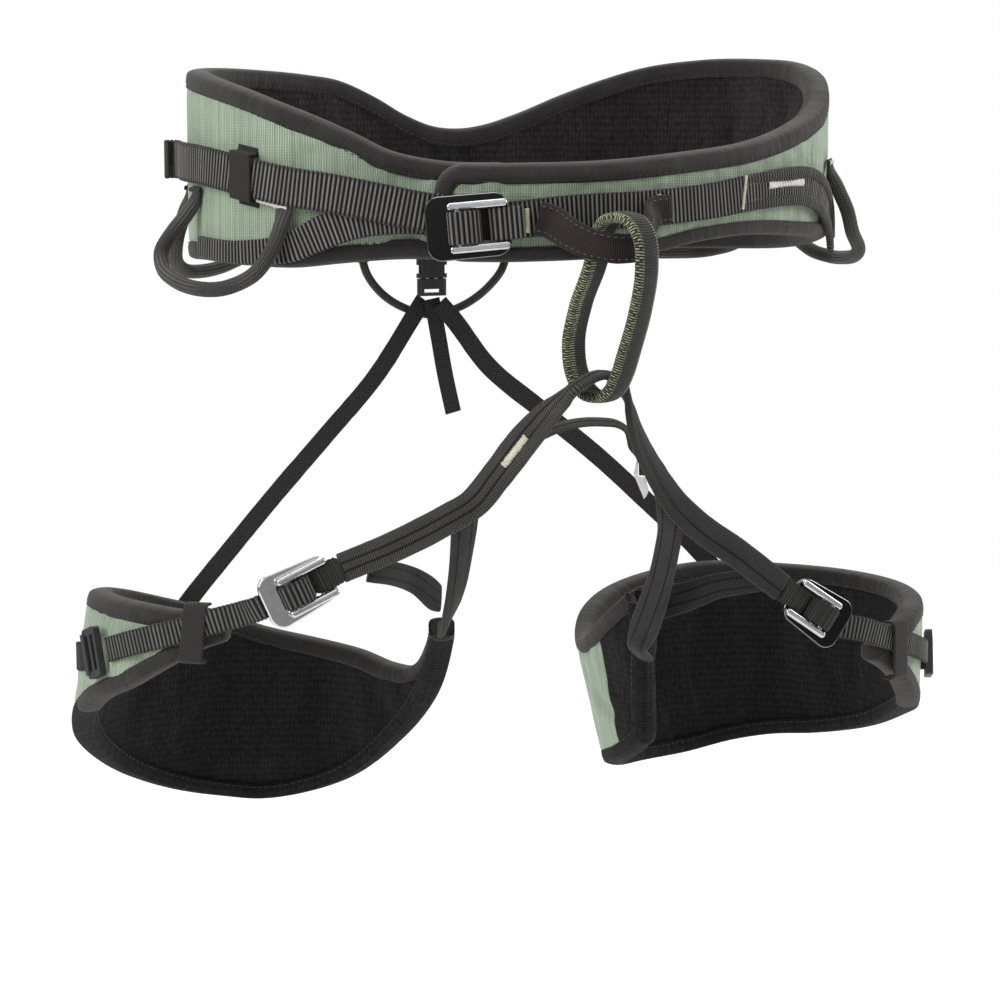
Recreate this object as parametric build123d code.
from build123d import *
import math
import os
import numpy as np

# Climbing harness, size M, in millimetres.  +Z is up and the wearer faces -Y.
# "Left" is the -X side and "right" the +X side, as seen by someone facing the wearer.
# Origin: centre of the waist opening at the middle height of the belt front.
#
# The belt and the leg loops are upright surfaces.  A place on one is (angle, z, offset):
# degrees from the front centre towards +X, height, and distance outside the pad's middle.

# layers of every pad: (inner, outer) offset
SHELL = (2.5, 4.6)
FOAM = (-2.4, 2.2)
LINER = (-4.6, -2.7)
EDGE_COVER = 1.3           # pad edge inside the edge of its binding
BIND_OUT, BIND_IN = 5.8, 4.9
BIND_CHAMFER = 1.2

WEB_T = 1.8                # sewn webbing


# ---------------------------------------------------------------------------
# curves
# ---------------------------------------------------------------------------
def unit(vector):
    vector = np.asarray(vector, float)
    return vector / np.linalg.norm(vector)


def smooth(start, end, x):
    """0 before start, 1 after end, with a soft step between."""
    step = min(max((x - start) / (end - start), 0.0), 1.0)
    return step * step * (3 - 2 * step)


def hermite(knots, values, x):
    """Smooth curve through the table (knots, values), read at x."""
    slopes = np.gradient(values, knots)
    x = np.clip(x, knots[0], knots[-1])
    i = np.clip(np.searchsorted(knots, x, side="right") - 1, 0, len(knots) - 2)
    gap = knots[i + 1] - knots[i]
    t = (x - knots[i]) / gap
    return ((2 * t**3 - 3 * t**2 + 1) * values[i]
            + (t**3 - 2 * t**2 + t) * gap * slopes[i]
            + (-2 * t**3 + 3 * t**2) * values[i + 1]
            + (t**3 - t**2) * gap * slopes[i + 1])


def look_up(rows, angle, periodic=False):
    """Smoothed height at an angle from a table of (angle, height)."""
    knots, values = np.array(rows, float).T
    if periodic:
        angle = np.mod(angle, 360.0)
        knots = np.concatenate([knots - 360, knots, knots + 360])
        values = np.concatenate([values, values, values])
    return float(hermite(knots, values, angle))


def distances(points):
    """Length travelled at each point of a polyline."""
    steps = np.linalg.norm(np.diff(points, axis=0), axis=1)
    return np.concatenate([[0], np.cumsum(steps)])


def resample(rows, travelled, count):
    """Even stations of a smooth curve through every column of the rows."""
    stations = np.linspace(0, travelled[-1], count)
    return np.stack([hermite(travelled, column, stations) for column in rows.T], -1)


def curve(points, count):
    points = np.asarray(points, float)
    return resample(points, distances(points), count)


def unit_rows(rows):
    return rows / np.linalg.norm(rows, axis=1)[:, None]


# ---------------------------------------------------------------------------
# belt surface: an ellipse whose inner end tucks under its outer end
# ---------------------------------------------------------------------------
WAIST_A = 151.0            # half width of the belt centre line, left-right
WAIST_B = 107.0            # half depth of the belt centre line, front-back
WAIST_CX = 1.2             # the belt sits this far to +X of the origin
BELT_START = -30.0         # outer end, degrees
BELT_END = 347.0           # inner end, degrees
BELT_END_ROUND = 5.5       # degrees over which each end is rounded off
END_DROP_TOP, END_DROP_BOTTOM = 15, 9
OVERLAP_INSET = 12.3       # how far the inner end sits inside the outer end
INSET_FROM, INSET_TO = 296, 327

# (angle, height)
BELT_TOP = [
    (0, 24.5), (15, 27.5), (29, 31), (45, 38.4), (60, 47), (70, 56), (91, 66.7), (107, 68.6),
    (124, 68), (138, 63.6), (146, 58), (154.5, 50.4), (164, 40.4), (170, 35.5), (175, 33.8),
    (180, 35), (186, 40.8), (192.5, 49.8), (201, 58.3), (208.5, 61), (222, 63.4), (241, 64.5),
    (272, 61.6), (290, 55), (305, 45), (314, 36.6), (320.5, 29.5), (329, 25), (347, 23.7)]
BELT_BOTTOM = [
    (0, -19), (9, -17.3), (17, -13.5), (25, -11.5), (50, -13.6), (70, -17), (95, -24),
    (130, -27), (180, -29), (225, -27), (255, -24), (270, -22.5), (291, -23.1), (303, -23.1),
    (311, -21.3), (321, -19.6), (345, -20)]


def belt_edges(angle):
    """Top and bottom height of the belt, with its two ends rounded off."""
    into_end = max(0.0, (BELT_START + BELT_END_ROUND - angle) / BELT_END_ROUND,
                   (angle - (BELT_END - BELT_END_ROUND)) / BELT_END_ROUND)
    drop = 1 - math.sqrt(max(0.0, 1 - min(into_end, 1.0) ** 2))
    return (look_up(BELT_TOP, angle, True) - END_DROP_TOP * drop,
            look_up(BELT_BOTTOM, angle, True) + END_DROP_BOTTOM * drop)


def belt_point(angle, z, offset):
    a = math.radians(angle)
    normal = unit([math.sin(a) / WAIST_A, -math.cos(a) / WAIST_B])
    out = normal * (offset - OVERLAP_INSET * smooth(INSET_FROM, INSET_TO, angle))
    return np.array([WAIST_CX + WAIST_A * math.sin(a) + out[0],
                     -WAIST_B * math.cos(a) + out[1], z])


def belt_mm(angle):
    """Millimetres per degree along the belt."""
    a = math.radians(angle)
    return math.hypot(WAIST_A * math.cos(a), WAIST_B * math.sin(a)) * math.pi / 180


# ---------------------------------------------------------------------------
# leg surfaces: cones pinned on one side; taper is the shift in X per mm above the level
# ---------------------------------------------------------------------------
LEFT_LEG = dict(centre=(-123.2, 5.0), radius=83.6, taper=0.075, level=-230.0)
RIGHT_LEG = dict(centre=(129.2, 5.0), radius=81.8, taper=-0.12, level=-210.0)


def leg_surface(centre, radius, taper, level):
    def point(angle, z, offset):
        a = math.radians(angle)
        shift = taper * (z - level)
        reach = radius - shift + offset
        return np.array([centre[0] + shift + reach * math.sin(a),
                         centre[1] - reach * math.cos(a), z])
    return point


left_point = leg_surface(**LEFT_LEG)
right_point = leg_surface(**RIGHT_LEG)


def outward(surface, angle):
    return surface(angle, 0, 1) - surface(angle, 0, 0)


def tangent(surface, angle):
    return unit(surface(angle + 1, 0, 0) - surface(angle - 1, 0, 0))


def on_surface(surface, rows):
    """Ribbon stations (point, normal) from rows of (angle, height, offset)."""
    return [(surface(*row), outward(surface, row[0])) for row in rows]


def tilted(direction, degrees):
    """A level direction raised by an angle."""
    a = math.radians(degrees)
    return unit(direction * math.cos(a) + np.array([0, 0, math.sin(a)]))


# ---------------------------------------------------------------------------
# solids
# ---------------------------------------------------------------------------
def vector(point):
    return Vector(*map(float, point))


def faces_of(points):
    """One flat face, or a fan of triangles when the points are not in one plane."""
    points = np.asarray(points, float)
    keep = [points[0]]
    for point in points[1:]:
        if np.linalg.norm(point - keep[-1]) > 1e-4:
            keep.append(point)
    if np.linalg.norm(keep[0] - keep[-1]) <= 1e-4:
        keep.pop()
    if len(keep) < 3:
        return []
    points = np.array(keep)
    spread = np.linalg.svd(points - points.mean(0))[1]
    if len(points) == 3 or spread[-1] < 1e-7:
        return [Face(Wire.make_polygon([vector(point) for point in points], close=True))]
    fan = []
    for i in range(1, len(points) - 1):
        fan += faces_of([points[0], points[i], points[i + 1]])
    return fan


def skin(sections, closed=False):
    """Flat-faced solid through a row of sections with the same point count."""
    sides = len(sections[0])
    faces = []
    for i in range(len(sections) if closed else len(sections) - 1):
        near, far = sections[i], sections[(i + 1) % len(sections)]
        for j in range(sides):
            k = (j + 1) % sides
            faces += faces_of([near[j], near[k], far[k], far[j]])
    if not closed:
        faces += faces_of(sections[0])
        faces += faces_of(sections[-1])
    solid = Solid(Shell(faces))
    if solid.volume < 0:
        solid = Solid(Shell([-face for face in faces]))
    return solid


def band(surface, edges, angles, layer, kink):
    """One layer of a pad, creased lengthwise at the kink height or as near as fits."""
    inner, outer = layer
    sections = []
    for angle in angles:
        top, bottom = edges(angle)
        low, high = bottom + EDGE_COVER, top - EDGE_COVER
        middle = kink
        if not low < kink < high:
            margin = 0.3 * (high - low)
            middle = min(max(kink, low + margin), high - margin)
        sections.append([surface(angle, z, offset) for z, offset in
                         [(low, inner), (low, outer), (middle, outer),
                          (high, outer), (high, inner), (middle, inner)]])
    return skin(sections)


def binding(surface, edges, angles, at_top, depth):
    """Tape folded over the top or bottom edge of a pad."""
    sections = []
    wall = BIND_OUT - BIND_IN
    shoulder = BIND_OUT - BIND_CHAMFER
    for angle in angles:
        top, bottom = edges(angle)
        reach = min(depth, (top - bottom) / 2 - 0.35)
        edge, inward = (top, -1) if at_top else (bottom, 1)
        # (offset, distance from the edge)
        profile = [(-BIND_OUT, reach), (-BIND_OUT, BIND_CHAMFER), (-shoulder, 0), (shoulder, 0),
                   (BIND_OUT, BIND_CHAMFER), (BIND_OUT, reach), (BIND_IN, reach),
                   (BIND_IN, wall), (-BIND_IN, wall), (-BIND_IN, reach)]
        sections.append([surface(angle, edge + inward * h, offset) for offset, h in profile])
    return skin(sections)


def ribbon_on(surface, scale, keys, inner, outer, count):
    """Webbing on a surface: keys are (angle, height, width), scale is mm per degree."""
    stations = curve(np.array(keys, float) * [scale, 1, 1], count)
    along = unit_rows(np.gradient(stations[:, :2], axis=0))
    sections = []
    for (x, z, width), (run, rise) in zip(stations, along):
        across = np.array([-rise, run]) * width / 2
        low, high = np.array([x, z]) - across, np.array([x, z]) + across
        sections.append([surface(side[0] / scale, side[1], offset) for side, offset in
                         [(low, inner), (low, outer), (high, outer), (high, inner)]])
    return skin(sections)


def belt_ribbon(keys, inner, outer, count=26):
    scale = belt_mm(np.mean([key[0] for key in keys]))
    return ribbon_on(belt_point, scale, keys, inner, outer, count)


def ribbon(stations, thickness, count, width=None, closed=False):
    """Webbing in free space.  Stations are (point, normal of the flat side, width), or
    (point, normal) when one width serves all."""
    rows = np.array([np.hstack(station if width is None else (*station, width))
                     for station in stations], float)
    if closed:
        rows = np.vstack([rows, rows[:1]])
    rows = resample(rows, distances(rows[:, :3]), count + 1 if closed else count)
    if closed:
        rows = rows[:-1]
        along = np.roll(rows[:, :3], -1, 0) - np.roll(rows[:, :3], 1, 0)
    else:
        along = np.gradient(rows[:, :3], axis=0)
    sections = []
    for row, forward in zip(rows, unit_rows(along)):
        centre, normal = row[:3], row[3:6]
        normal = unit(normal - forward * (normal @ forward))
        side = np.cross(forward, normal) * row[6] / 2
        out = normal * thickness / 2
        sections.append([centre - side - out, centre + side - out,
                         centre + side + out, centre - side + out])
    return skin(sections, closed)


def cord(points, radius, count, sides=10):
    """Round cord or sleeve along a smooth path."""
    centres = curve(points, count)
    along = unit_rows(np.gradient(centres, axis=0))
    across = np.array([0.0, 0.0, 1.0]) if abs(along[0][2]) < 0.9 else np.array([1.0, 0.0, 0.0])
    turns = np.arange(sides) * 2 * math.pi / sides
    sections = []
    for centre, forward in zip(centres, along):
        # carry the cross direction along so that the sections do not twist
        across = unit(across - forward * (across @ forward))
        other = np.cross(forward, across)
        sections.append([centre + radius * (across * math.cos(a) + other * math.sin(a))
                         for a in turns])
    return skin(sections)


def profile_on(surface, angles, profile, centre=lambda angle: 0.0):
    """Constant (height, offset) profile carried along a surface."""
    return skin([[surface(angle, centre(angle) + z, offset) for z, offset in profile]
                 for angle in angles])


def placed(shape, centre, x_dir, normal):
    plane = Plane(origin=vector(centre), x_dir=vector(x_dir), z_dir=vector(normal))
    return plane.location * shape


def soft_fillet(shape, edges, radius):
    # guards against a radius too large for the edges: smaller ones are tried in turn
    for smaller in (radius, radius * 0.7, radius * 0.4):
        try:
            return fillet(edges, smaller)
        except Exception:
            continue
    return shape


def export(shape, name):
    if isinstance(shape, list):
        shape = Compound(children=shape)
    shape.label = name
    export_step(shape, f"parts/{name}.step")


def export_pad(name, surface, edges, angles, kink, bind_name, bind_depth):
    for layer_name, layer in (("shell", SHELL), ("foam", FOAM), ("liner", LINER)):
        export(band(surface, edges, angles, layer, kink), f"{name}_{layer_name}")
    export([binding(surface, edges, angles, at_top, bind_depth) for at_top in (True, False)],
           f"{name}_{bind_name}")


os.makedirs("parts", exist_ok=True)

# ---------------------------------------------------------------------------
# waist belt
# ---------------------------------------------------------------------------
# every 6 degrees, closer at the rounded ends and where the edges bend
belt_angles = sorted([*np.arange(-24, 342, 6.0), BELT_START, -29.6, -28.6, -27, 153, 171, 177,
                      183, 189, 315, 321, 342, 344.5, 346, 346.7, BELT_END])
export_pad("waist", belt_point, belt_edges, belt_angles, kink=0.0,
           bind_name="edge_binding", bind_depth=9.0)

WEB_IN = 6.3               # inner offset of the webbing on the belt
WEB_OUT = WEB_IN + WEB_T
TAIL_IN = 8.6              # the tail lies over the left webbing
TAIL_W = 17.5

# right webbing: across the front, then down at the hip; (angle, height, width)
export(belt_ribbon(
    [(-17.3, -1.4, 17.5), (-7, 0.5, 17.5), (7, 1.1, 18), (19.3, 3.6, 18), (30.3, 7.2, 18.5),
     (42, 9.0, 19), (53, 7.2, 18), (61, 0, 16), (66, -9, 15), (68.5, -17.5, 15)],
    WEB_IN, WEB_OUT), "waist_webbing_right")

# left webbing: under the tail, then down to the bottom edge
export(belt_ribbon(
    [(-25.5, -1.5, 16.5), (-34, 1.0, 16.5), (-44, -1.6, 16), (-51, -7.5, 15), (-57, -13.5, 13),
     (-69, -16.6, 10.5), (-86, -15.6, 9.5)],
    WEB_IN, WEB_OUT), "waist_webbing_left")

# tail of the waist strap, from its free end towards the buckle; (angle, height)
TAIL = [(-98, 22.6), (-80, 21.0), (-67.5, 17.1), (-57, 13.1), (-48.4, 10.5), (-39, 6.4),
        (-33.5, 3.6)]
export(belt_ribbon([(angle, z, TAIL_W) for angle, z in TAIL], TAIL_IN, TAIL_IN + WEB_T),
       "waist_strap_tail")

# keeper arched over the tail, with a foot above and below; (height, offset)
WAIST_KEEPER = [
    (-13.4, 4.95), (-13.4, 6.1), (-10.7, 6.1), (-10.7, 12.0), (10.7, 12.0), (10.7, 6.1),
    (13.4, 6.1), (13.4, 4.95), (9.7, 4.95), (9.7, 10.9), (-9.7, 10.9), (-9.7, 4.95)]
export(profile_on(belt_point, np.linspace(-70.6, -65.2, 4), WAIST_KEEPER,
                  lambda angle: look_up(TAIL, angle)), "waist_strap_keeper")

# folded stop at the free end of the tail
export(ribbon(
    [(belt_point(-98.6, 22.8, 9.6), outward(belt_point, -98.6)),
     (belt_point(-100.3, 22.9, 11.0), (-0.8, 0.6, 0)),
     (belt_point(-101.0, 22.9, 13.6), (-0.3, 0.95, 0)),
     (belt_point(-99.6, 22.9, 15.8), (0.9, 0.4, 0))],
    WEB_T, 10, width=TAIL_W), "waist_strap_stop")

# ---------------------------------------------------------------------------
# buckles: local +X points from the strap side to the sewn side
# ---------------------------------------------------------------------------
# wide and narrow are the heights at the strap and sewn sides
WAIST_PLATE = dict(length=37.0, wide=28.5, narrow=28.0, half_window=8.8)
LEG_PLATE = dict(length=33.5, wide=26.5, narrow=21.5, half_window=6.3)
WAIST_RAIL_Y, LEG_RAIL_Y = 9.4, 7.8      # rails of the frame either side of the centre line
PLATE_T = 2.6
WINDOW_START = 0.36        # strap side of the window, as a part of the half length
SEWN_BAR_W = 6.6           # plate left at the sewn side of the window
RAIL_W, RAIL_HALF_T = 3.4, 1.6
FRAME_Z = 3.5              # height of the frame above the plate's middle
FRAME_OVERHANG = 2.2       # frame past the window on the strap side
BAR_R, BAR_INSET = 1.5, 4.4
BUCKLE_WEB_T = 1.5
BUCKLE_WEB_GAP = 0.9       # rail spacing left free beside the webbing


def frame_start(length):
    return -length / 2 * WINDOW_START - FRAME_OVERHANG


def buckle_plate(length, wide, narrow, half_window):
    """Rounded plate with one window."""
    half = length / 2
    outline = Polyline((-half, -wide / 2), (half, -narrow / 2), (half, narrow / 2),
                       (-half, wide / 2), close=True)
    face = make_face(outline)
    face = fillet(face.vertices(), 6.5)
    body = extrude(face, PLATE_T / 2, both=True)
    start, end = -half * WINDOW_START, half - SEWN_BAR_W
    window = RectangleRounded(end - start, 2 * half_window, 2.0)
    body = body - Pos((start + end) / 2, 0, 0) * extrude(window, 4, both=True)
    rim = [e for e in body.edges() if abs(abs(e.center().Z) - PLATE_T / 2) < 1e-4]
    return soft_fillet(body, rim, 0.9)


def buckle_frame(length, rail_y):
    """Two rails and a cross bar that lies over the plate."""
    start, end = frame_start(length), length / 2 - 0.8
    rails = [Pos((start + end) / 2, side * rail_y, FRAME_Z)
             * extrude(RectangleRounded(end - start, RAIL_W, 1.6), RAIL_HALF_T, both=True)
             for side in (-1, 1)]
    bar = Pos(start + BAR_INSET, 0, FRAME_Z) * Rot(90, 0, 0) * Cylinder(BAR_R, 2 * rail_y)
    body = rails[0] + rails[1] + bar
    rim = [e for e in body.edges()
           if abs(abs(e.center().Z - FRAME_Z) - RAIL_HALF_T) < 1e-3
           and abs(e.center().Y) > rail_y - 1.75]
    return soft_fillet(body, rim, 1.1)


def export_buckle(name, plate, rail_y, centre, x_dir, normal, loop_end):
    """Plate, frame and the two folds of webbing.  Returns the map from the buckle's
    (x, z) to space."""
    half = plate["length"] / 2
    x_dir, normal = unit(x_dir), unit(normal)
    normal = unit(normal - x_dir * (normal @ x_dir))
    centre = np.asarray(centre, float)

    def at(x, z):
        return centre + x_dir * x + normal * z

    def folded(path, count):
        """Webbing along an (x, z) path, its flat side square to the path."""
        stations = []
        for i, (x, z) in enumerate(path):
            before, after = path[max(i - 1, 0)], path[min(i + 1, len(path) - 1)]
            run, rise = after[0] - before[0], after[1] - before[1]
            stations.append((at(x, z), x_dir * rise - normal * run))
        width = 2 * (rail_y - RAIL_W / 2) - BUCKLE_WEB_GAP
        return ribbon(stations, BUCKLE_WEB_T, count, width=width)

    export(placed(buckle_plate(**plate), centre, x_dir, normal), f"{name}_buckle_plate")
    export(placed(buckle_frame(plate["length"], rail_y), centre, x_dir, normal),
           f"{name}_buckle_frame")

    # strap turned round the cross bar; (x from the bar, z)
    bar_x = frame_start(plate["length"]) + BAR_INSET
    fold = [(9.6, 0.6), (8.6, 3.6), (5.4, 6.0), (1.0, 6.9), (-2.6, 5.9), (-3.9, 3.4),
            (-3.9, 2.4)]
    export(folded([(bar_x + x, z) for x, z in fold], 22), f"{name}_buckle_strap_fold")

    # sewn loop round the middle of the plate's sewn bar, the same above and below
    sewn_x = half - SEWN_BAR_W / 2
    upper = [(loop_end, 1.5), (sewn_x + 5.5, 2.45), (sewn_x + 1.5, 2.75), (sewn_x - 2.6, 2.6)]
    lower = [(x, -z) for x, z in reversed(upper)]
    export(folded([*upper, (sewn_x - 5.2, 0.0), *lower], 40), f"{name}_buckle_loop")
    return at


WAIST_BUCKLE_ANGLE = -24.3
export_buckle("waist", WAIST_PLATE, WAIST_RAIL_Y, belt_point(WAIST_BUCKLE_ANGLE, -3.6, 10.9),
              tilted(tangent(belt_point, WAIST_BUCKLE_ANGLE), 5),
              outward(belt_point, WAIST_BUCKLE_ANGLE), loop_end=24.3)

LEG_LOOP_END = 21.0
LEFT_BUCKLE_NORMAL = (-0.10, -0.99, 0.02)
RIGHT_BUCKLE_NORMAL = (-0.05, -0.99, 0.02)
at_left_buckle = export_buckle("left_leg", LEG_PLATE, LEG_RAIL_Y, (-137.6, -89.5, -162.8),
                               (0.917, -0.02, 0.40), LEFT_BUCKLE_NORMAL, LEG_LOOP_END)
at_right_buckle = export_buckle("right_leg", LEG_PLATE, LEG_RAIL_Y, (119.6, -88.5, -189.5),
                                (-0.826, 0.01, 0.564), RIGHT_BUCKLE_NORMAL, LEG_LOOP_END)

# ---------------------------------------------------------------------------
# waist tie-in loop, bulging forward of the belt front: (point, normal, width)
# ---------------------------------------------------------------------------
export(ribbon(
    [(belt_point(-12.8, -0.2, 10.6), (-0.2, -1, 0), 15.0),
     (belt_point(-11.4, -1.2, 11.4), (-0.4, -1, 0.1), 15.0),
     ((-23.5, -126.5, -7.0), (-0.7, -0.7, 0.15), 14.2),
     ((-17.0, -133.0, -10.8), (-0.6, -0.8, 0.1), 13.6),
     ((-9, -137.2, -12.6), (-0.2, -1, 0.05), 13.2),
     ((0, -138.0, -12.8), (0.15, -1, 0.05), 13.2),
     ((8.0, -134.0, -10.5), (0.65, -0.75, 0.05), 13.4),
     ((14.5, -126.5, -5.5), (0.85, -0.5, 0), 13.6),
     ((17.5, -120.5, -2.0), (0.8, -0.6, 0), 14),
     (belt_point(8.0, -0.4, 10.8), (0.6, -0.8, 0), 14.5)],
    3.4, 36), "waist_tie_in_loop")

# ---------------------------------------------------------------------------
# belay ring: a closed upright loop that leans back towards its lower end
# ---------------------------------------------------------------------------
BELAY_W, BELAY_T = 14.0, 5.0
BELAY_YAW = 26.0           # ring plane turned from the front-back plane, degrees
RING_HALF_W, RING_HALF_H = 17.0, 40.0    # shape the normals round the ring's middle

# (distance forward in the ring plane, height)
RING_PROFILE = [
    (0, 0.6), (7.5, -1.2), (12.5, -8), (15, -20), (17.2, -40), (16.2, -58), (13, -69.5),
    (9, -76), (4.5, -79), (0, -79.6), (-4.5, -79), (-9, -76), (-13, -69.5), (-16.2, -58),
    (-17.2, -40), (-14, -20), (-12, -8), (-7.5, -1.2)]

yaw = math.radians(BELAY_YAW)
ring_forward = np.array([math.sin(yaw), -math.cos(yaw), 0.0])


def ring_station(forward, z):
    lean = smooth(8, 70, -z)
    centre = np.array([-3.0 - 3.0 * lean, -136.0 + 18.0 * lean, z])
    facing = np.array([forward / RING_HALF_W, (z + RING_HALF_H) / RING_HALF_H])
    facing = np.sign(facing) * np.abs(facing) ** 1.6
    return (centre + ring_forward * forward,
            ring_forward * facing[0] + np.array([0, 0, facing[1]]))


export(ribbon([ring_station(*row) for row in RING_PROFILE], BELAY_T, 54, width=BELAY_W,
              closed=True), "belay_loop")

# ---------------------------------------------------------------------------
# leg tie-in strap: passes through the belay ring, an arm runs to each leg buckle
# ---------------------------------------------------------------------------
ARM_T = 3.6
ARM_END_X = 22.0           # end of each arm, along the leg buckle's own X

export(ribbon(
    [((-15.6, -122.2, -72.4), (-0.25, -0.1, 0.95)), ((-11, -120.4, -70.7), (-0.1, -0.05, 1)),
     ((-6, -118, -70.0), (0, 0, 1)), ((-1, -115.8, -70.6), (0.1, 0, 1)),
     ((3.6, -113.7, -72.2), (0.25, 0.05, 0.95))],
    4.2, 12, width=9.6), "leg_tie_in_strap")

# (point, normal, width)
export(ribbon(
    [((-17.6, -123.0, -73.45), (-0.25, -0.1, 0.95), 9.6),
     ((-19.8, -122.9, -74.6), (-0.35, -0.15, 0.9), 10),
     ((-23.0, -120.3, -79), (-0.5, -0.35, 0.8), 11.5),
     ((-27, -115.5, -84.5), (-0.5, -0.55, 0.6), 13),
     ((-35.3, -104.5, -98.0), (-0.4, -0.85, 0.35), 14.5),
     ((-44.8, -93, -116), (-0.3, -0.92, 0.25), 14.5),
     ((-53.8, -87.0, -129), (-0.15, -0.98, 0.15), 14),
     ((-68, -86, -136.6), (-0.12, -0.99, 0.1), 14),
     ((-90, -88, -145.3), (-0.1, -0.99, 0.05), 14),
     (at_left_buckle(ARM_END_X, 0.0), LEFT_BUCKLE_NORMAL, 13.5)],
    ARM_T, 38), "left_leg_front_strap")
export(ribbon(
    [((4.5, -113.3, -72.6), (0.25, 0.05, 0.95), 9.6),
     ((7.0, -112.1, -74.6), (0.4, 0, 0.85), 9.8),
     ((9.6, -110.9, -79), (0.65, -0.2, 0.7), 10.2),
     ((13.0, -108.3, -86), (0.7, -0.55, 0.4), 11),
     ((19.5, -102, -99), (0.5, -0.8, 0.3), 12),
     ((32.5, -93, -117), (0.3, -0.93, 0.2), 12.5),
     ((47, -87.5, -135), (0.1, -0.99, 0.1), 13.5),
     ((60, -86, -146.5), (0, -1, 0.05), 14),
     ((78, -86.5, -159), (-0.03, -1, 0.02), 14),
     (at_right_buckle(ARM_END_X, 0.0), RIGHT_BUCKLE_NORMAL, 13.5)],
    ARM_T, 38), "right_leg_front_strap")

# ---------------------------------------------------------------------------
# leg loops: pad edges as (angle, height)
# ---------------------------------------------------------------------------
LEFT_TOP = [
    (68, -191), (77, -199), (85, -208), (94, -218), (103, -223.5), (115, -224.5),
    (128, -220.4), (143.5, -216.5), (163, -210.4), (180, -201.5), (203, -191.5),
    (222.5, -184), (250, -177), (285, -174.5), (305, -175), (319, -176.5), (329, -181)]
LEFT_BOTTOM = [
    (68, -201.5), (77, -213), (90, -234), (110, -262), (130, -285.5), (144, -294.4),
    (161, -299), (174, -296.8), (187.5, -292.4), (207.5, -281), (233.5, -259.7), (256, -240),
    (268, -230.4), (278, -223), (295, -213), (310, -201), (322, -191.5), (329, -188)]
RIGHT_TOP = [
    (19, -211), (25, -208), (38, -202.5), (48, -198.5), (60, -197), (82, -194.7), (104, -194),
    (139, -193.6), (168.5, -193), (192, -197), (214.5, -203), (230, -209), (240, -213.5),
    (250, -216), (262, -214), (272, -207.5), (281, -199), (290, -190), (296, -184), (301, -180)]
RIGHT_BOTTOM = [
    (19, -218.5), (31, -227), (39, -234), (47, -242), (60, -252), (80, -262), (102, -273.4),
    (130, -281.8), (149, -284), (163, -286.5), (188, -291.5), (215, -291), (240, -287),
    (260, -280), (275, -273), (286, -265), (291.5, -258), (295, -240), (298, -222), (301, -209)]
# extra sections where the right pad's lower edge climbs steeply
RIGHT_EXTRA = [289.0, 290.5, 291.5, 293.0, 294.0, 295.0, 297.0, 298.0, 299.5]


def export_leg_pad(name, surface, top, bottom, kink, extra=()):
    start, end = float(top[0][0]), float(top[-1][0])
    angles = sorted([start, end, *np.arange(math.ceil(start / 8) * 8, end, 8.0), *extra])
    export_pad(name, surface, lambda angle: (look_up(top, angle), look_up(bottom, angle)),
               angles, kink, bind_name="binding", bind_depth=8.0)


export_leg_pad("left_leg", left_point, LEFT_TOP, LEFT_BOTTOM, kink=-230.0)
export_leg_pad("right_leg", right_point, RIGHT_TOP, RIGHT_BOTTOM, kink=-215.0,
               extra=RIGHT_EXTRA)

# adjustment straps from each buckle round the outside of its leg loop
LEG_STRAP_W, LEG_STRAP_T = 11.4, 1.6
left_start = [(at_left_buckle(x, z), LEFT_BUCKLE_NORMAL)
              for x, z in [(8, -3.0), (-12, -3.4), (-18.0, -3.6)]]
export(ribbon(left_start + on_surface(left_point, [
    (334, -173.6, 12.3), (325, -178, 9.6), (316, -183, 8.2), (306, -187.3, 8.0),
    (296, -192, 8.0), (287, -196.5, 8.2)]),
    LEG_STRAP_T, 34, width=LEG_STRAP_W), "left_leg_strap")
right_start = [(at_right_buckle(x, z), RIGHT_BUCKLE_NORMAL)
               for x, z in [(8, -3.0), (-12, -3.2)]]
export(ribbon(right_start + on_surface(right_point, [
    (11.5, -200.3, 8.6), (20, -205, 8.2), (30, -210, 8.0), (42, -216, 8.0), (52, -220.5, 8.0),
    (59.5, -223.5, 8.1)]),
    LEG_STRAP_T, 34, width=LEG_STRAP_W), "right_leg_strap")


def leg_keeper(surface, start, end, top, bottom):
    """Elastic keeper over strap and pad tip, open towards the leg."""
    inner, outer, end_wall, outer_wall = -7.4, 12.1, 1.2, 1.0
    profile = [(bottom, inner), (bottom, outer), (top, outer), (top, inner),
               (top - end_wall, inner), (top - end_wall, outer - outer_wall),
               (bottom + end_wall, outer - outer_wall), (bottom + end_wall, inner)]
    return profile_on(surface, np.linspace(start, end, 4), profile)


export(leg_keeper(left_point, 316.5, 324.0, -168.0, -199.5), "left_leg_strap_keeper")
export(leg_keeper(right_point, 24.0, 31.0, -196.5, -230.5), "right_leg_strap_keeper")

# strap locks at the ends of the adjustment straps
LOCK_W, LOCK_H, LOCK_T = 13.0, 23.0, 3.2


def ladder_lock():
    """Strap lock with two slots and one raised bar."""
    body = extrude(RectangleRounded(LOCK_W, LOCK_H, 2.0), LOCK_T / 2, both=True)
    for side in (-1, 1):
        slot = RectangleRounded(LOCK_W * 0.2, LOCK_H - 6.5, 0.8)
        body -= Pos(side * LOCK_W * 0.21, 0, 0) * extrude(slot, 5, both=True)
    bar = Cylinder(LOCK_T * 0.42, LOCK_H * 0.82)
    body += Pos(-LOCK_W * 0.43, 0, LOCK_T * 0.5) * Rot(90, 0, 0) * bar
    rim = [e for e in body.edges()
           if abs(abs(e.center().Z) - LOCK_T / 2) < 1e-4 and e.length > 3]
    return soft_fillet(body, rim, 0.5)


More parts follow.
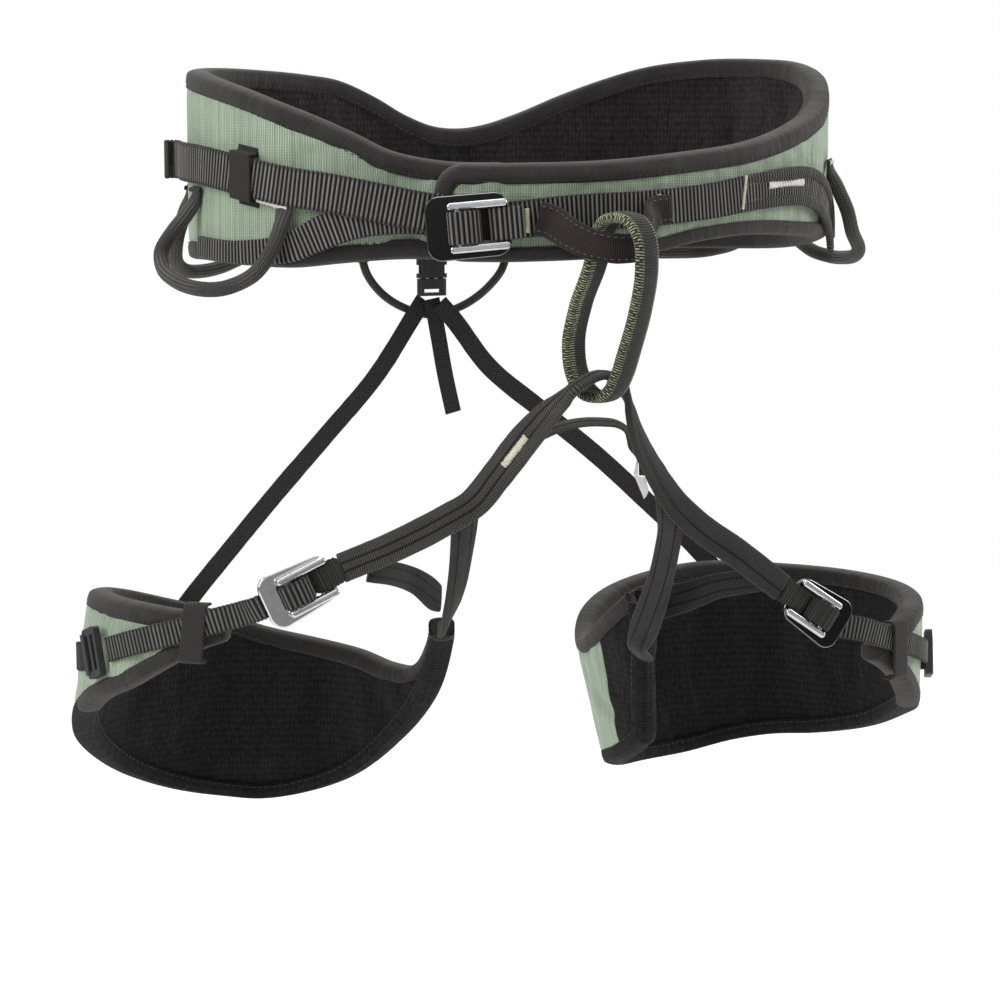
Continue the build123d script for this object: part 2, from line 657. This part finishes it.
def placed_lock(surface, angle, z, sense):
    """The lock's X follows the surface, forwards or backwards, raised by 20 degrees."""
    return placed(ladder_lock(), surface(angle, z, 9.6),
                  tilted(sense * tangent(surface, angle), 20), unit(outward(surface, angle)))


export(placed_lock(left_point, 281.0, -199.0, 1), "left_leg_ladder_lock")
export(placed_lock(right_point, 65.5, -226.0, -1), "right_leg_ladder_lock")

# tabs that hold the locks to the pads; (angle, height, offset)
TAB_W = 13.5
LEFT_TAB = [(275.6, -201.6, 8.6), (272, -203, 9.4), (266, -205, 7.4), (258, -207, 7.0)]
RIGHT_TAB = [(71.2, -228.4, 8.6), (74.5, -230, 9.6), (80, -231.5, 7.6), (88, -233, 7.1)]
export(ribbon(on_surface(left_point, LEFT_TAB), WEB_T, 12, width=TAB_W), "left_leg_lock_tab")
export(ribbon(on_surface(right_point, RIGHT_TAB), WEB_T, 12, width=TAB_W),
       "right_leg_lock_tab")


def radial(leg, point):
    """Level direction from a leg's axis to a point."""
    return unit([point[0] - leg["centre"][0], point[1] - leg["centre"][1], 0.0])


# risers from the front straps down to the inner tips of the pads: (point, normal, width)
LEFT_RISER_END = (-47.4, -32, -195.2)
export(ribbon(
    [((-55.5, -82.0, -131.5), (-0.2, -0.9, -0.4), 13),
     ((-53.8, -76.0, -141.5), (-0.2, -0.88, -0.42), 13),
     ((-51.5, -66, -157), (0.0, -0.85, -0.5), 12.5),
     ((-49.2, -52.5, -176), (0.45, -0.75, -0.4), 12),
     ((-48.0, -42, -187), (0.8, -0.55, -0.2), 11),
     (LEFT_RISER_END, radial(LEFT_LEG, LEFT_RISER_END), 8.5)],
    3.2, 22), "left_leg_riser")
# (point, width)
RIGHT_RISER = [
    ((48.5, -78.5, -147.5), 12.5), ((50.0, -70, -160), 12.5), ((51.0, -61.4, -174), 13),
    ((50.0, -54.2, -188), 15), ((48.0, -47.4, -202), 15), ((46.9, -44.6, -208), 12)]
export(ribbon([(point, radial(RIGHT_LEG, point), width) for point, width in RIGHT_RISER],
              3.4, 18), "right_leg_riser")

# gussets between riser and front strap; (angle, height, width)
LEFT_GUSSET = [(14, -158, 11), (22.8, -160.8, 11), (36.6, -167.4, 12), (50.5, -176.5, 16)]
RIGHT_GUSSET = [(304.2, -189, 17), (317, -183.5, 14), (328, -177, 12), (339, -172.5, 11)]
for name, surface, leg, keys in (("left", left_point, LEFT_LEG, LEFT_GUSSET),
                                 ("right", right_point, RIGHT_LEG, RIGHT_GUSSET)):
    scale = leg["radius"] * math.pi / 180
    export(ribbon_on(surface, scale, keys, -1.2, 1.2, 14), f"{name}_leg_gusset")

# ---------------------------------------------------------------------------
# thin crotch strap between the arms of the tie-in strap, and its flat hook
# ---------------------------------------------------------------------------
HOOK_TIP, HOOK_T = (30.8, -84.0, -131.5), 1.2
HOOK_ACROSS, HOOK_NORMAL = (0.927, -0.375, 0.0), (-0.375, -0.927, 0.0)
HOOK_BACK = (0.375, 0.927, 0)


def on_hook(across, up, out):
    """Point measured from the hook's tip, out along its normal."""
    return (np.array(HOOK_TIP) + across * np.array(HOOK_ACROSS)
            + out * np.array(HOOK_NORMAL) + np.array([0, 0, up]))


# (point, normal, width); the last stations turn through the hook's eye
export(ribbon(
    [((-24.5, -92.5, -99.5), (-0.2, -0.5, 0.85), 6),
     ((-15, -92, -96), (-0.1, -0.5, 0.85), 6.5),
     ((-3, -90, -94.3), (0, -0.5, 0.86), 6.5),
     ((8, -88.5, -94.6), (0.1, -0.5, 0.86), 6.5),
     ((16.5, -88, -96.0), (0.15, -0.5, 0.85), 6.5),
     ((21.0, -87, -98.6), (0.3, -0.6, 0.7), 6),
     ((23.8, -85.8, -102.5), (0.3, -0.85, 0.4), 5.4),
     ((25.8, -84.3, -106.8), (0.05, -0.97, 0.15), 4.6),
     (on_hook(-2.0, 20.8, -1.4), (-0.3, -0.95, 0), 3.8),
     (on_hook(-0.4, 17.6, -1.5), HOOK_NORMAL, 3.0),
     (on_hook(0, 14.0, -1.4), HOOK_NORMAL, 2.9),
     (on_hook(0, 11.8, -1.0), (-0.27, -0.65, 0.7), 2.9),
     (on_hook(0, 11.15, 0), (0, 0, 1), 2.9),
     (on_hook(0, 11.8, 1.0), (0.27, 0.65, 0.7), 2.9),
     (on_hook(0, 14.0, 1.4), HOOK_BACK, 2.9),
     (on_hook(0, 17.6, 1.4), HOOK_BACK, 2.9)],
    1.2, 46), "crotch_strap")

# outline of the hook, an eye above a pointed tongue; (across, up)
HOOK_OUTLINE = [
    (1.1, 0.0), (2.1, 1.3), (2.95, 3.7), (2.75, 5.4), (2.15, 7.4), (2.75, 9.6), (2.9, 11.8),
    (2.9, 14.2), (2.6, 16.8), (1.3, 18.5), (-0.6, 18.8), (-2.2, 17.9), (-2.9, 15.6),
    (-3.3, 13.6), (-3.8, 12.0), (-3.5, 10.3), (-2.65, 8.4), (-0.85, 4.1), (0.35, 1.1)]
hook_plane = Plane(origin=HOOK_TIP, x_dir=HOOK_ACROSS, z_dir=HOOK_NORMAL)
hook = extrude(hook_plane * make_face(Spline(*HOOK_OUTLINE, periodic=True)), HOOK_T / 2,
               both=True)
hook -= extrude(hook_plane * (Pos(0.0, 13.75) * RectangleRounded(3.8, 7.5, 1.0)), HOOK_T,
                both=True)
export(soft_fillet(hook, [e for e in hook.edges() if e.length > 8], 0.35),
       "crotch_strap_hook")

# ---------------------------------------------------------------------------
# rear: side-release buckle, elastic straps, haul cord
# ---------------------------------------------------------------------------
REAR_X, REAR_Y = 3.2, 115.0
REAR_CORNER_R = 2.2


def rear_block(z, width, depth, height, x=0.0):
    """Box on the rear buckle's axis, or x to one side of it."""
    return Pos(REAR_X + x, REAR_Y, z) * Box(width, depth, height)


def rear_body(z, width, depth, height):
    block = rear_block(z, width, depth, height)
    return soft_fillet(block, block.edges().filter_by(Axis.Z), REAR_CORNER_R)


# upper half: socket with side openings and a slotted web bar on top
female = rear_body(-36.4, 15.6, 6.6, 11.2)
female -= rear_block(-38.2, 12.2, 3.4, 11.0)
for side in (-1, 1):
    female -= rear_block(-37.6, 3.2, 12, 4.4, x=side * 7.5)
female += rear_block(-29.2, 13.0, 3.0, 4.0)
female -= rear_block(-29.2, 10.2, 8.0, 1.6)
export(female, "rear_buckle_female")

# lower half: slotted base with three prongs
male = rear_body(-46.8, 15.0, 6.2, 8.6)
male -= rear_block(-48.6, 10.2, 9, 1.9)
male += rear_block(-38.8, 2.2, 2.4, 8.4)
for side in (-1, 1):
    male += rear_block(-39.2, 1.8, 2.4, 7.8, x=side * 4.7)
export(male, "rear_buckle_male")

export(ribbon([((REAR_X, y, z), (0, 1, 0.1)) for y, z in
               [(113.8, -15.5), (114.3, -21.5), (114.8, -26.9)]],
              0.9, 6, width=9.0), "rear_buckle_web")

# elastic straps from the buckle down to each leg loop: (point, normal)
ELASTIC_W, ELASTIC_T = 9.5, 1.2
export(ribbon(
    [((0.6, 119.4, -53.4), (0, 1, 0.1)), ((-4.6, 118.6, -60.5), (0, 1, 0.1)),
     ((-26.9, 115.5, -91), (0, 1, 0.13)), ((-55.3, 111, -119.5), (0, 1, 0.13)),
     ((-83.7, 106.8, -147.5), (0, 1, 0.1)), ((-112, 103.2, -177), (-0.06, 1, 0.06)),
     ((-127.5, 101.4, -193.5), (-0.08, 1, 0.02)), ((-139.5, 99.8, -207), (-0.15, 1, 0))],
    ELASTIC_T, 24, width=ELASTIC_W), "elastic_strap_left")
export(ribbon(
    [((7.3, 115.0, -55.2), (0, 1, 0.1)), ((13.4, 114.4, -62), (0, 1, 0.1)),
     ((33.1, 112, -88), (0, 1, 0.1)), ((61.6, 107.8, -112), (0, 1, 0.1)),
     ((92.2, 103.4, -137.5), (0, 1, 0.1)), ((121.7, 99.4, -165), (0.1, 1, 0.06)),
     ((146, 97.2, -188), (0.25, 1, 0.02)), ((158, 94.4, -202), (0.32, 1, 0))],
    ELASTIC_T, 24, width=ELASTIC_W), "elastic_strap_right")
export(ribbon([(point, (0, 1, 0.05)) for point in
               [(4.0, 117.2, -53.0), (7.3, 117.0, -71), (11.1, 116.9, -92),
                (15.9, 117.6, -112)]],
              1.0, 12, width=8.6), "elastic_tail")

HAUL_CORD_R = 2.1
export(cord([(-34.0, 116.2, -31.5), (-31.5, 117, -38.5), (-23.5, 119.6, -48.5),
             (-10.5, 122, -57), (6, 123, -61.5), (22.5, 122, -57.5), (36.0, 119.6, -48.0),
             (43.0, 117.4, -38.5), (44.8, 116.2, -32)],
            HAUL_CORD_R, 30, sides=8), "haul_loop")

# ---------------------------------------------------------------------------
# gear loops: sleeves hanging from the belt; (angle, height, offset)
# ---------------------------------------------------------------------------
GEAR_TUBE_R = 3.4
GEAR_LOOPS = {
    "front_left": [
        (-57.5, -1.0, 9.4), (-58.0, -8, 12), (-59.0, -17, 15.5), (-61.5, -25.5, 19.5),
        (-66.5, -31.5, 23), (-73, -32.5, 25.5), (-79, -29.5, 27.5), (-83.5, -24.5, 27.5),
        (-86, -17.5, 25.5), (-87, -9, 19), (-87, -1, 12.5), (-86.5, 5.5, 9.6)],
    "rear_left": [
        (-112, 4, 9.6), (-112.5, -4, 11.0), (-113.5, -14, 14.5), (-116, -24, 17.5),
        (-122, -31, 20), (-130, -33.5, 21), (-138, -31, 20), (-144, -24, 17.5),
        (-146.5, -14, 14.5), (-147.5, -4, 11.0), (-148, 4, 9.6)],
    "front_right": [
        (64.0, 14.5, 10.2), (64.2, 7, 12.6), (65.2, -3, 15.8), (67, -13, 18),
        (71.5, -20.5, 21), (79, -26, 22.5), (87, -28.6, 23.5), (94, -28.8, 23.5),
        (99.5, -26, 22), (103.5, -18.5, 19), (105, -8, 14), (105.5, 3, 9.8)],
    "rear_right": [
        (112, 4, 9.6), (112.5, -5, 11.5), (114, -15, 15), (117, -23, 17), (123, -28, 18),
        (131, -30, 18.5), (139, -29, 18), (144.5, -23, 17), (147.5, -14, 14.5),
        (148.5, -4, 11.0), (149, 4, 9.6)],
}
for place, rows in GEAR_LOOPS.items():
    export(cord([belt_point(*row) for row in rows], GEAR_TUBE_R, 34), f"gear_loop_{place}")

# ---------------------------------------------------------------------------
# bar tacks that lie proud of the webbing: two upright and one lengthwise
# ---------------------------------------------------------------------------
TACK_IN, TACK_OUT = 8.35, 9.0
# (keys as (angle, height, width), section count)
TACKS = [([(-13.9, -7.8, 2.0), (-13.9, 7.0, 2.0)], 3),
         ([(26.5, -0.5, 1.6), (27.0, 13.5, 1.6)], 3),
         ([(39.0, 10.5, 3.2), (51.0, 9.6, 3.2)], 5)]
export([belt_ribbon(keys, TACK_IN, TACK_OUT, count) for keys, count in TACKS], "bar_tacks")
